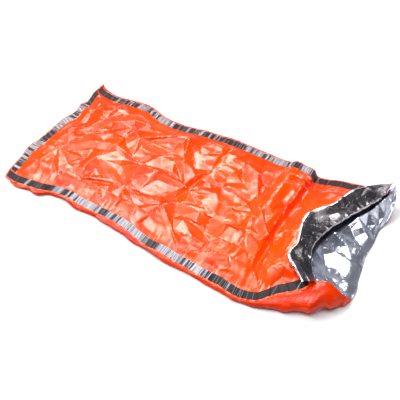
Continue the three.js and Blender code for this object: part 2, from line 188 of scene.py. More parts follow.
# Sharper creases between them
TOP_CREASES = [
    Fold(105, 10, 350, 0, 3.0),
    Fold(-35, 210, 60, 210, 2.5),
    Fold(60, -105, 75, -165, 3.0),
    Fold(130, -105, 150, -205, -3.0),
    Fold(215, -100, 225, -200, 3.0),
    Fold(300, -95, 300, -195, -2.5),
    Fold(110, 10, 140, -105, 3.0),
    Fold(215, 5, 235, -100, -3.0),
    Fold(305, 5, 330, -95, 3.0),
    Fold(65, 105, 110, 10, 2.5),
    Fold(155, 100, 200, 5, -3.0),
    Fold(-95, 105, 65, 105, 3.0),
    Fold(-70, 0, 105, 10, -2.5),
    Fold(95, -350, 325, -260, 4.0),
    Fold(325, -260, 400, -345, 4.0),
    Fold(400, -345, 325, -420, 3.0),
    Fold(325, -420, 250, -345, 3.0),
    Fold(250, -345, 325, -260, 4.0),
    Fold(95, -350, 20, -280, 4.0),
    Fold(-855, -125, -690, -330, 5.0),
    Fold(-745, 10, -810, 65, 4.0),
    Fold(-595, 60, -640, -80, 4.0),
    Fold(-640, -80, -620, -250, 4.5),
    Fold(-465, 35, -520, 180, 4.5),
    Fold(-380, 15, -385, -150, -4.5),
    Fold(-290, 10, -290, -155, 4.0),
    Fold(-290, 350, -210, 160, 5.0),
    Fold(-210, 160, -100, 10, 4.0),
    Fold(-520, 180, -640, 290, 5.0),
    Fold(-795, 195, -900, 330, 5.0),
    Fold(-795, 195, -640, 290, -5.0),
    Fold(-930, 40, -810, 65, 4.0),
    Fold(-385, -150, -330, -330, 4.5),
    Fold(-130, -165, -190, -330, 4.0),
]

# Points where several creases meet in a star: x, y, reach, height, number of rays
STARS = [
    (-385, -150, 60, 4.5, 7), (-135, -170, 50, 4.0, 7), (-65, 5, 60, 4.5, 8),
    (-520, 180, 55, 4.0, 6), (-35, 405, 60, 5.0, 7), (95, -350, 70, 5.0, 8),
    (-290, 350, 50, 4.0, 6), (-795, 195, 65, 4.5, 7), (-810, 65, 55, 4.0, 6),
    (390, -10, 60, 4.5, 7), (445, -255, 70, 5.0, 8), (325, -345, 40, 4.0, 6),
    (-640, -80, 50, 3.5, 6), (200, 300, 55, 4.5, 7), (245, 110, 45, 4.0, 6),
    (-210, 160, 45, 3.5, 6), (-620, -250, 55, 4.0, 7), (350, 420, 50, 5.0, 7),
    (-900, -250, 55, 3.5, 6), (65, 105, 40, 3.5, 6),
]

# Creases of the bottom film in the open mouth, with their heights over the floor
MOUTH_CREASES = [
    Fold(776, -192, 722, -140, 62, 0.87),
    Fold(722, -140, 682, -75, 54, 0.93),
    Fold(682, -75, 674, -20, 50, 1.16),
    Fold(674, -20, 676, 24, 58, 0.86),
    Fold(676, 24, 690, 84, 50, 0.70),
    Fold(690, 84, 710, 132, 35, 1.80),
    Fold(710, 132, 728, 178, 63, 0.62),
    Fold(728, 178, 748, 230, 39, 1.15),
    Fold(748, 230, 772, 280, 45, 1.50),
    Fold(772, 280, 804, 336, 67, 1.05),
    Fold(804, 336, 830, 396, 71, 1.20),
    Fold(830, 396, 852, 455, 85, 1.13),
    Fold(852, 455, 868, 520, 96, 1.12),
    Fold(722, -140, 800, -100, 54, 0.40),
    Fold(800, -100, 880, -70, 22, 0.80),
    Fold(674, -20, 740, -40, 58, 0.20),
    Fold(676, 24, 760, 45, 50, 0.60),
    Fold(760, 45, 850, 35, 30, 0.70),
    Fold(690, 84, 760, 45, 35, 0.86),
    Fold(710, 132, 790, 112, 63, 0.45),
    Fold(790, 112, 875, 135, 28, 0.70),
    Fold(728, 178, 800, 190, 39, 0.25),
    Fold(772, 280, 830, 232, 67, 0.48),
    Fold(830, 232, 882, 205, 32, 0.70),
    Fold(804, 336, 860, 312, 71, 0.36),
    Fold(830, 396, 880, 380, 85, 0.40),
]
FOLD_SLOPE = 62.0  # how far before the cuff's fold the bottom film starts to rise


def smooth(t: np.ndarray | float) -> np.ndarray:
    """Rises smoothly from 0 to 1 as t does."""
    held = np.clip(t, 0.0, 1.0)
    return held * held * (3.0 - 2.0 * held)


def mix(low: np.ndarray, high: np.ndarray, share: np.ndarray | float) -> np.ndarray:
    """A value the given share of the way from low to high."""
    return low + (high - low) * share


class Line:
    """A smooth line through a table's points, asked by shares of its length."""

    STEPS = 24

    def __init__(self, spots: Sequence[Spot]) -> None:
        """Args:
            spots: the points, in order.
        """
        knots = np.array([[s.x, s.y, s.z] for s in spots], float)
        padded = np.vstack([2 * knots[0] - knots[1], knots, 2 * knots[-1] - knots[-2]])
        share = np.linspace(0.0, 1.0, self.STEPS, endpoint=False)[:, None]
        parts = []
        for a, b, c, d in zip(padded, padded[1:], padded[2:], padded[3:]):
            before, between, after = (
                math.sqrt(np.linalg.norm(q - p)) for p, q in ((a, b), (b, c), (c, d))
            )
            start = (b - a) / before - (c - a) / (before + between) + (c - b) / between
            end = (c - b) / between - (d - b) / (between + after) + (d - c) / after
            start, end = start * between, end * between
            bend = 3 * (c - b) - 2 * start - end
            twist = 2 * (b - c) + start + end
            parts.append(b + start * share + bend * share**2 + twist * share**3)
        self.points = np.vstack([*parts, knots[-1]])
        steps = np.linalg.norm(np.diff(self.points, axis=0), axis=1)
        self.lengths = np.concatenate([[0.0], np.cumsum(steps)])

    def at(self, share: np.ndarray | float) -> np.ndarray:
        """Args:
            share: shares of the length, of any shape.

        Returns:
            The points there, with x, y and z as the last axis.
        """
        place = np.clip(share, 0.0, 1.0) * self.lengths[-1]
        return np.stack(
            [np.interp(place, self.lengths, self.points[:, k]) for k in range(3)], axis=-1
        )

    def bow(self, share: np.ndarray) -> np.ndarray:
        """How far the line leaves the straight one between its ends."""
        ends = mix(self.points[0], self.points[-1], np.asarray(share)[..., None])
        return self.at(share) - ends


def read_table(table: Sequence[tuple], at: np.ndarray) -> np.ndarray:
    """Reads a table of places and values, smoothly between its rows."""
    places = np.array([row[0] for row in table], float)
    values = np.array([row[1] for row in table], float)
    after = np.clip(np.searchsorted(places, at), 1, len(places) - 1)
    share = (at - places[after - 1]) / (places[after] - places[after - 1])
    return mix(values[after - 1], values[after], smooth(share))


@dataclass
class FacetNet:
    """Flat facets between random points, as in crumpled film.

    The points are shifted inside the squares of a grid, and each has a height of its own,
    within the given height of the level. A stretch over 1 makes the facets long along the
    film, and under 1 long across it. Creases are edges of the net, with their own heights at
    both ends, and no other point is nearer to them than clear. The net covers the extent from
    the corner on, and it is kept on a square lattice of the given step. All are millimetres.
    """

    pitch: float
    height: float
    seed: int
    stretch: float = 1.0
    creases: Sequence[Fold] = ()
    clear: float = 26.0
    level: float = 0.0
    extent: tuple[float, float] = (1180.0, 2320.0)
    corner: tuple[float, float] = (60.0, 20.0)
    step: float = 2.5
    values: np.ndarray = field(init=False)

    def __post_init__(self) -> None:
        """Draws the facets once on a fine square lattice."""
        rng = np.random.default_rng(self.seed)
        pitch = np.array([self.pitch, self.pitch * self.stretch])
        counts = np.ceil(np.array(self.extent) / pitch).astype(int) + 3
        grid = np.stack(np.meshgrid(*[np.arange(n) for n in counts], indexing="ij"), -1)
        places = (grid + rng.uniform(-0.48, 0.48, grid.shape) - 1.0).reshape(-1, 2) * pitch
        heights = self.level + rng.uniform(-self.height, self.height, len(places))
        free = np.ones(len(places), bool)
        fixed, lifts, edges = [], [], []
        for line in self.creases:
            start, end = self._ends(line)
            free &= self._gap(places, start, end)[0] > self.clear
            edges.append((len(fixed), len(fixed) + 1))
            fixed += [start, end]
            lifts += [line.height, line.height * line.tip]
        if fixed:
            places = np.concatenate([fixed, places[free]])
            heights = np.concatenate([lifts, heights[free]])
        found = delaunay_2d_cdt([Vector(place) for place in places], edges, [], 0, 1e-4)
        corners = np.array([v[:] for v in found[0]])
        owned = zip(corners, found[3])
        heights = np.array([heights[own[0]] if own else self._between(c) for c, own in owned])
        size = (np.array(self.extent) / self.step).astype(int) + 2
        self.values = np.zeros(size)
        for face in found[2]:
            self._draw(corners[list(face)] / self.step, heights[list(face)])

    def _ends(self, line: Fold) -> tuple[np.ndarray, np.ndarray]:
        """A crease's ends on the lattice, with floor places turned to across and along."""
        shift = np.array(self.corner) + FLOOR_CORNER
        return np.array([line.y1, line.x1]) + shift, np.array([line.y2, line.x2]) + shift

    @staticmethod
    def _gap(places: np.ndarray, start: np.ndarray, end: np.ndarray) -> tuple:
        """Distance of places from a line, and how far along it each is."""
        along = end - start
        share = np.clip((places - start) @ along / (along @ along), 0.0, 1.0)
        return np.linalg.norm(places - start - share[..., None] * along, axis=-1), share

    def _between(self, place: np.ndarray) -> float:
        """Height of a point where two creases cross."""
        for line in self.creases:
            gap, share = self._gap(place, *self._ends(line))
            if gap < 1.0:
                return line.height * mix(1.0, line.tip, share)
        return 0.0

    def _draw(self, corners: np.ndarray, heights: np.ndarray) -> None:
        """Writes one facet's heights on the lattice."""
        low = np.maximum(np.ceil(corners.min(0)).astype(int), 0)
        high = np.minimum(np.floor(corners.max(0)).astype(int) + 1, self.values.shape)
        if np.any(high <= low):
            return
        x, y = np.meshgrid(np.arange(low[0], high[0]), np.arange(low[1], high[1]), indexing="ij")
        (ax, ay), (bx, by), (cx, cy) = corners
        area = (by - cy) * (ax - cx) + (cx - bx) * (ay - cy)
        a = ((by - cy) * (x - cx) + (cx - bx) * (y - cy)) / area
        b = ((cy - ay) * (x - cx) + (ax - cx) * (y - cy)) / area
        c = 1.0 - a - b
        inside = (a >= -1e-6) & (b >= -1e-6) & (c >= -1e-6)
        window = self.values[low[0]:high[0], low[1]:high[1]]
        lifts = a * heights[0] + b * heights[1] + c * heights[2]
        window[inside] = lifts[inside]

    def lift(self, across: np.ndarray, along: np.ndarray) -> np.ndarray:
        """Args:
            across: places across the film or the floor.
            along: places along it.

        Returns:
            The height of the facets there.
        """
        size = self.values.shape
        x = np.clip((across + self.corner[0]) / self.step, 0, size[0] - 1.001)
        y = np.clip((along + self.corner[1]) / self.step, 0, size[1] - 1.001)
        i, j = x.astype(int), y.astype(int)
        s, t = x - i, y - j
        v = self.values
        low = mix(v[i, j], v[i + 1, j], s)
        high = mix(v[i, j + 1], v[i + 1, j + 1], s)
        return mix(low, high, t)


def star_rays() -> list[Fold]:
    """Creases that run out from each star, high in the middle and up or down at the ends."""
    rng = np.random.default_rng(5)
    rays = []
    for x, y, reach, height, count in STARS:
        turn = rng.uniform(0, math.tau)
        for k in range(count):
            angle = turn + math.tau * (k + rng.uniform(-0.25, 0.25)) / count
            length = reach * rng.uniform(0.8, 1.9)
            end = (x + length * math.cos(angle), y + length * math.sin(angle))
            drop = rng.uniform(0.7, 1.3) if k % 2 else rng.uniform(-0.9, -0.3)
            rays.append(Fold(x, y, *end, height, -drop))
    return rays


def main_creases() -> list[Fold]:
    """All the creases of the top film that the tables give."""
    sharper = [fold._replace(height=fold.height * 1.5) for fold in TOP_CREASES]
    return TOP_FOLDS + sharper + star_rays()


def grid_normals(grid: np.ndarray) -> np.ndarray:
    """Normals of a grid of points, up where rows run along +X and columns along +Y."""
    along = np.gradient(grid, axis=0)
    across = np.gradient(grid, axis=1)
    normals = np.cross(along, across)
    return normals / np.maximum(np.linalg.norm(normals, axis=-1, keepdims=True), 1e-9)


class Layer(Enum):
    """The two faces of a film, as material slots."""

    OUTSIDE = 0
    INSIDE = 1


class Sheet:
    """A closed thin sheet between a grid of points and its offset."""

    SHARP = math.radians(1.2)

    def __init__(
        self, name: str, outer: np.ndarray, thickness: float, facing: int, full_bend: float = 0.22
    ) -> None:
        """Args:
            name: the piece's name.
            outer: rows and columns of points on its outer face, mm.
            thickness: from the outer face to the inner one, mm.
            facing: 1 where the grid's normals leave the outer face, or -1.
            full_bend: the bend at a point that counts as a sharp crease, radians.
        """
        self.full_bend = full_bend
        self.name = name
        self.outer = outer
        self.facing = facing
        self.inner = outer - facing * thickness * grid_normals(outer)

    def _quads(self) -> tuple[np.ndarray, np.ndarray]:
        """Triangles of one layer, split along the quieter diagonal."""
        rows, columns = self.outer.shape[:2]
        index = np.arange(rows * columns).reshape(rows, columns)
        a, b, c, d = index[:-1, :-1], index[1:, :-1], index[1:, 1:], index[:-1, 1:]
        wide = np.pad(self.outer, ((1, 1), (1, 1), (0, 0)), mode="reflect", reflect_type="odd")
        down = wide[:-3, :-3] - wide[1:-2, 1:-2] - wide[2:-1, 2:-1] + wide[3:, 3:]
        up = wide[3:, :-3] - wide[2:-1, 1:-2] - wide[1:-2, 2:-1] + wide[:-3, 3:]
        straight = (np.linalg.norm(down, axis=-1) <= np.linalg.norm(up, axis=-1))[..., None]
        first = np.where(straight, np.stack([a, b, c], -1), np.stack([b, c, d], -1))
        second = np.where(straight, np.stack([a, c, d], -1), np.stack([b, d, a], -1))
        return first.reshape(-1, 3), second.reshape(-1, 3)

    def build(self, finishes: Sequence[bpy.types.Material]) -> bpy.types.Object:
        """Makes the piece.

        Args:
            finishes: the outside's material, and the inside's too where it differs.

        Returns:
            The object, linked to the scene.
        """
        rows, columns = self.outer.shape[:2]
        count = rows * columns
        points = np.concatenate([self.outer.reshape(-1, 3), self.inner.reshape(-1, 3)])
        layer = np.concatenate(self._quads())
        top, under = layer, layer[:, ::-1] + count
        index = np.arange(count).reshape(rows, columns)
        loop = np.concatenate(
            [index[:, 0], index[-1, 1:], index[-2::-1, -1], index[0, -2:0:-1]]
        )
        after = np.roll(loop, -1)
        rim = np.concatenate(
            [
                np.stack([loop + count, after + count, after], -1),
                np.stack([loop + count, after, loop], -1),
            ]
        )
        faces = np.concatenate([top, under, rim])
        if self.facing < 0:
            faces = faces[:, ::-1]
        mesh = bpy.data.meshes.new(self.name)
        mesh.from_pydata(((points + ORIGIN) * MM).tolist(), [], faces.tolist())
        for finish in finishes:
            mesh.materials.append(finish)
        if len(finishes) > 1:
            slots = np.full(len(faces), Layer.INSIDE.value)
            slots[: len(top)] = Layer.OUTSIDE.value
            mesh.polygons.foreach_set("material_index", slots)
        self._mark_creases(mesh)
        mesh.shade_smooth()
        mesh.set_sharp_from_angle(angle=self.SHARP)
        piece = bpy.data.objects.new(self.name, mesh)
        bpy.context.scene.collection.objects.link(piece)
        return piece

    def _mark_creases(self, mesh: bpy.types.Mesh) -> None:
        """Stores how sharply the film bends at each point, from -1 in a valley to 1."""
        normals = grid_normals(self.outer) * self.facing
        bend = np.zeros(self.outer.shape[:2])
        for axis in (0, 1):
            steps = np.diff(self.outer, axis=axis)
            length = np.linalg.norm(steps, axis=-1, keepdims=True)
            turn = np.diff(steps / np.maximum(length, 1e-6), axis=axis)
            pad = [(1, 1) if k == axis else (0, 0) for k in range(2)] + [(0, 0)]
            rise = -(np.pad(turn, pad) * normals).sum(axis=-1)
            bend = np.where(np.abs(rise) > np.abs(bend), rise, bend)
        marks = np.clip(bend / self.full_bend, -1.0, 1.0).reshape(-1)
        store = mesh.attributes.new("crease", "FLOAT", "POINT")
        store.data.foreach_set("value", np.concatenate([marks, marks]).astype(np.float32))


class Value:
    """An output of a node, with arithmetic that adds Math nodes."""

    def __init__(self, graph: Graph, socket: bpy.types.NodeSocket) -> None:
        """Args:
            graph: the tree's builder.
            socket: the output.
        """
        self.graph = graph
        self.socket = socket

    def _math(self, operation: str, first: Value | float, second: Value | float) -> Value:
        """Adds a Math node."""
        settings = {"operation": operation}
        return self.graph.node("ShaderNodeMath", settings, {0: first, 1: second})

    def __add__(self, other: Value | float) -> Value:
        """Sum."""
        return self._math("ADD", self, other)

    def __radd__(self, other: float) -> Value:
        """Sum with a number before."""
        return self._math("ADD", other, self)

    def __sub__(self, other: Value | float) -> Value:
        """Difference."""
        return self._math("SUBTRACT", self, other)

    def __rsub__(self, other: float) -> Value:
        """Difference from a number."""
        return self._math("SUBTRACT", other, self)

    def __mul__(self, other: Value | float) -> Value:
        """Product."""
        return self._math("MULTIPLY", self, other)

    def __rmul__(self, other: float) -> Value:
        """Product with a number before."""
        return self._math("MULTIPLY", other, self)

    def __pow__(self, other: float) -> Value:
        """Power."""
        return self._math("POWER", self, other)

    def __rpow__(self, other: float) -> Value:
        """A number to this power."""
        return self._math("POWER", other, self)

    def rise(self, start: float, end: float) -> Value:
        """Goes smoothly from 0 at one value to 1 at another."""
        settings = {"interpolation_type": "SMOOTHSTEP"}
        spans = {"Value": self, "From Min": start, "From Max": end}
        return self.graph.node("ShaderNodeMapRange", settings, spans)


class Graph:
    """Builds one node tree."""

    def __init__(self, tree: bpy.types.NodeTree) -> None:
        """Args:
            tree: a shader or geometry tree.
        """
        self.tree = tree

    def node(
        self,
        kind: str,
        settings: dict | None = None,
        inputs: dict | None = None,
        output: int | str | None = 0,
    ) -> Value | None:
        """Adds a node.

        Args:
            kind: its type.
            settings: its own properties.
            inputs: values or links of its sockets.
            output: the output that is returned, or None where the node has none.

        Returns:
            That output.
        """
        made = self.tree.nodes.new(kind)
        for name, value in (settings or {}).items():
            setattr(made, name, value)
        for key, value in (inputs or {}).items():
            socket = made.inputs[key]
            if isinstance(value, Value):
                self.tree.links.new(value.socket, socket)
            else:
                socket.default_value = value
        return None if output is None else Value(self, made.outputs[output])

    def blend(self, share: Value | float, low: Value | tuple, high: Value | tuple) -> Value:
        """Mixes two colours."""
        settings = {"data_type": "RGBA"}
        return self.node("ShaderNodeMix", settings, {0: share, 6: low, 7: high}, 2)

    def vector(
        self, operation: str, *inputs: Value | tuple, scale: Value | None = None, output: int = 0
    ) -> Value:
        """Adds a Vector Math node."""
        settings = {"operation": operation}
        sockets = dict(enumerate(inputs))
        if scale is not None:
            sockets["Scale"] = scale
        return self.node("ShaderNodeVectorMath", settings, sockets, output)

    def noise(self, place: Value, scale: float, detail: float = 2.0) -> Value:
        """Noise between 0 and 1, of the given number of waves a metre."""
        inputs = {"Vector": place, "Scale": scale, "Detail": detail}
        return self.node("ShaderNodeTexNoise", {}, inputs)

    def facets(self, place: Value, scale: float) -> Value:
        """Height of small flat facets, each with a tilt of its own.

        Args:
            place: the point that is asked.
            scale: facets a metre.

        Returns:
            The height, in metres for a slope of up to one half.
        """
        inputs = {"Vector": place, "Scale": scale}
        tilt = self.node("ShaderNodeTexVoronoi", {}, inputs, "Color")
        cell = tilt.socket.node.outputs["Position"]
        lean = self.vector("SUBTRACT", tilt, (0.5, 0.5, 0.5))
        reach = self.vector("SUBTRACT", place, Value(self, cell))
        return self.vector("DOT_PRODUCT", lean, reach, output=1)


def new_material(name: str) -> tuple[bpy.types.Material, Graph, bpy.types.Node]:
    """Makes an empty material.

    Args:
        name: its name.

    Returns:
        The material, its graph and its shader node.
    """
    material = bpy.data.materials.new(name)
    material.use_nodes = True
    material.node_tree.nodes.clear()
    graph = Graph(material.node_tree)
    shader = graph.node("ShaderNodeBsdfPrincipled").socket.node
    output = material.node_tree.nodes.new("ShaderNodeOutputMaterial")
    material.node_tree.links.new(shader.outputs[0], output.inputs[0])
    return material, graph, shader


def feed(shader: bpy.types.Node, **values: Value | float | tuple) -> None:
    """Sets a shader's sockets, named with underscores for spaces."""
    for name, value in values.items():
        socket = shader.inputs[name.replace("_", " ")]
        if isinstance(value, Value):
            value.graph.tree.links.new(value.socket, socket)
        else:
            socket.default_value = value


@dataclass(frozen=True)
class OrangeFinish:
    """The glossy outside of the film, orange lacquer over metal. Its colour holds painted shade
    in the valleys of creases, and painted highlights and glints on their ridges.
    """

    name: str = "orange_film"
    fresh: tuple = (0.95, 0.070, 0.0002, 1.0)
    # The deep colour is a random tone, and also the painted shade of crease valleys.
    deep_tone_and_valley_shade: tuple = (0.93, 0.046, 0.0001, 1.0)
    # Pale colour of the painted highlights along the ridges of creases.
    ridge_highlight: tuple = (1.00, 0.150, 0.030, 1.0)
    glint: tuple = (1.00, 0.55, 0.42, 1.0)
    ior: float = 1.44

    def material(self) -> bpy.types.Material:
        """The orange film's material."""
        material, graph, shader = new_material(self.name)
        place = graph.node("ShaderNodeTexCoord", output="Object")
        crease = graph.node("ShaderNodeAttribute", {"attribute_name": "crease"}, output="Fac")
        ridge = crease.rise(0.6, 1.0)
        valley = (0.0 - crease).rise(0.3, 1.0)
        cloud = graph.noise(place, 5.0, 3.0)
        colour = graph.blend(cloud.rise(0.35, 0.65), self.deep_tone_and_valley_shade, self.fresh)
        # Painted shade: the valleys of creases are darkened towards the deep colour.
        colour = graph.blend(valley * 0.6, colour, self.deep_tone_and_valley_shade)
        # Painted highlight: the ridges of creases are lightened, in patches of noise.
        highlight_breakup = graph.noise(place, 90.0, 3.0).rise(0.45, 0.65)
        colour = graph.blend(ridge * (0.25 + 0.6 * highlight_breakup), colour, self.ridge_highlight)
        spark = crease.rise(0.9, 1.0) * graph.noise(place, 45.0, 2.0).rise(0.5, 0.62)
        colour = graph.blend(spark * 0.8, colour, self.glint)
        smear = graph.noise(place, 14.0, 4.0).rise(0.4, 0.75)
        rough = 0.03 + 0.03 * smear + 0.02 * ridge
        patch = graph.noise(place, 6.0).rise(0.46, 0.54)
        across = graph.noise(graph.vector("MULTIPLY", place, (125.0, 11.0, 30.0)), 1.0)
        along = graph.noise(graph.vector("MULTIPLY", place, (10.0, 110.0, 30.0)), 1.0)
        lines = 0.00003 * (patch * across + (1.0 - patch) * along)
        fine = lines + graph.facets(place, 26.0) * 0.05
        bump = graph.node(
            "ShaderNodeBump", {}, {"Strength": 1.0, "Distance": 1.0, "Height": fine}
        )
        feed(shader, Base_Color=colour, Roughness=rough, Metallic=0.08, IOR=self.ior, Normal=bump)
        return material


@dataclass(frozen=True)
class SilverFinish:
    """The metallised inside of the film. More haze makes it milky in the dark reflections."""

    name: str = "silver_film"
    bright: tuple = (0.78, 0.80, 0.90, 1.0)
    dull: tuple = (0.56, 0.58, 0.68, 1.0)
    haze: float = 0.16
    rough: float = 0.11

    def material(self) -> bpy.types.Material:
        """The silver film's material."""
        material, graph, shader = new_material(self.name)
        place = graph.node("ShaderNodeTexCoord", output="Object")
        crease = graph.node("ShaderNodeAttribute", {"attribute_name": "crease"}, output="Fac")
        cloud = graph.noise(place, 9.0, 3.0)
        colour = graph.blend(cloud.rise(0.35, 0.7), self.bright, self.dull)
        rough = self.rough + 1.2 * self.rough * graph.noise(place, 16.0, 3.0)
        fine = graph.facets(place, 24.0) * 0.09 + graph.facets(place, 70.0) * 0.012
        bump = graph.node(
            "ShaderNodeBump", {}, {"Strength": 1.0, "Distance": 1.0, "Height": fine}
        )
        metal = 1.0 - self.haze
        feed(shader, Base_Color=colour, Roughness=rough, Metallic=metal, IOR=1.5, Normal=bump)
        return material


# Painted shade: the bottom film's outside is a darker copy of the orange finish, for its near
# wall that lies in shade.
ORANGE_IN_PAINTED_SHADE = OrangeFinish(
    name="painted_shade_orange_film", fresh=(0.74, 0.036, 0.0003, 1.0), deep_tone_and_valley_shade=(0.60, 0.020, 0.0002, 1.0),
    ior=1.33,
)
# Painted shade and painted reflection: the top film's inside, seen on the cuff, is a darker,
# warm-tinted copy of the silver finish, for the dark surroundings and the orange that it
# reflects.
CUFF_SILVER_IN_PAINTED_SHADE = SilverFinish(
    name="painted_shade_cuff_silver", bright=(0.62, 0.57, 0.59, 1.0), dull=(0.34, 0.31, 0.33, 1.0),
    haze=0.03, rough=0.08,
)


@dataclass(frozen=True)
class TapeFinish:
    """The smoky seam tape, silver where it puckers."""

    name: str = "seam_tape_film"
    smoke: tuple = (0.018, 0.012, 0.014, 1.0)
    silver: tuple = (0.20, 0.205, 0.22, 1.0)

    def material(self) -> bpy.types.Material:
        """The tape's material."""
        material, graph, shader = new_material(self.name)
        place = graph.node("ShaderNodeTexCoord", output="Object")
        shine = graph.node("ShaderNodeAttribute", {"attribute_name": "shine"}, output="Fac")
        along = graph.node("ShaderNodeAttribute", {"attribute_name": "run"}, output="Fac")
        slant = graph.noise(place, 26.0) * 0.010 + graph.noise(place, 90.0) * 0.003
        drawn = 0.6 * self._stripes(graph, along + slant, 62.0)
        drawn = drawn + 0.4 * self._stripes(graph, along + slant, 190.0)
        cluster = graph.node(
            "ShaderNodeTexNoise", {"noise_dimensions": "1D"}, {"W": along, "Scale": 7.0}
        )
        silver = (0.8 * drawn + 0.8 * shine + cluster.rise(0.35, 0.65) * 0.5).rise(1.0, 1.1)
        colour = graph.blend(silver, self.smoke, self.silver)
        rough = 0.42 + 0.14 * graph.noise(place, 40.0, 2.0)
        fine = 0.0012 * drawn + graph.facets(place, 90.0) * 0.05
        bump = graph.node(
            "ShaderNodeBump", {}, {"Strength": 1.0, "Distance": 1.0, "Height": fine}
        )
        feed(
            shader, Base_Color=colour, Roughness=rough, Metallic=0.05 + 0.35 * silver,
            IOR=1.3, Normal=bump,
        )
        return material

    @staticmethod
    def _stripes(graph: Graph, along: Value, scale: float) -> Value:
        """Random shade of the cross stripes that the puckered tape is drawn into."""
        settings = {"voronoi_dimensions": "1D"}
        inputs = {"W": along, "Scale": scale}
        colour = graph.node("ShaderNodeTexVoronoi", settings, inputs, "Color")
        return graph.node("ShaderNodeSeparateColor", {}, {0: colour}, 0)


RIB_FINISH = TapeFinish(
    name="tape_rib_film", smoke=(0.13, 0.13, 0.145, 1.0), silver=(0.46, 0.46, 0.50, 1.0)
)


@dataclass(frozen=True)
class FloorFinish:
    """The pale studio floor."""

    name: str = "studio_floor"
    pale: tuple = (0.70, 0.70, 0.70, 1.0)
    shade: tuple = (0.68, 0.68, 0.69, 1.0)

    def material(self) -> bpy.types.Material:
        """The floor's material."""
        material, graph, shader = new_material(self.name)
        place = graph.node("ShaderNodeTexCoord", output="Object")
        colour = graph.blend(graph.noise(place, 2.0), self.pale, self.shade)
        feed(shader, Base_Color=colour, Roughness=0.9)
        return material


class Pucker(NamedTuple):
    """A small fold that leaves an edge: where, how long, half its width, height and slant."""

    at: float
    reach: float
    half: float
    height: float
    slant: float


def puckers(
    start: float, end: float, spacing: tuple[float, float], reach: tuple[float, float],
    width: tuple[float, float], height: tuple[float, float], slant: float, seed: int,
) -> list[Pucker]:
    """Random small folds that leave an edge at right angles.

    Args:
        start: where along the edge the first may be.
        end: where the last may be.
        spacing: least and most distance between them.
        reach: least and most length.
        width: least and most half width.
        height: least and most height.
        slant: most that the far end is off to either side.
        seed: of the random numbers.

    Returns:
        The folds. About one in four is a trough.
    """
    rng = np.random.default_rng(seed)
    rows = []
    at = start + rng.uniform(0, spacing[0])
    while at < end:
        size = rng.uniform(0.0, 1.0)
        rows.append(
            Pucker(
                at,
                mix(*reach, size**2),
                mix(*width, rng.uniform()),
                mix(*height, rng.uniform()) * (1.0 if rng.uniform() < 0.72 else -0.7),
                rng.uniform(-slant, slant),
            )
        )
        at += rng.uniform(*spacing)
    return rows


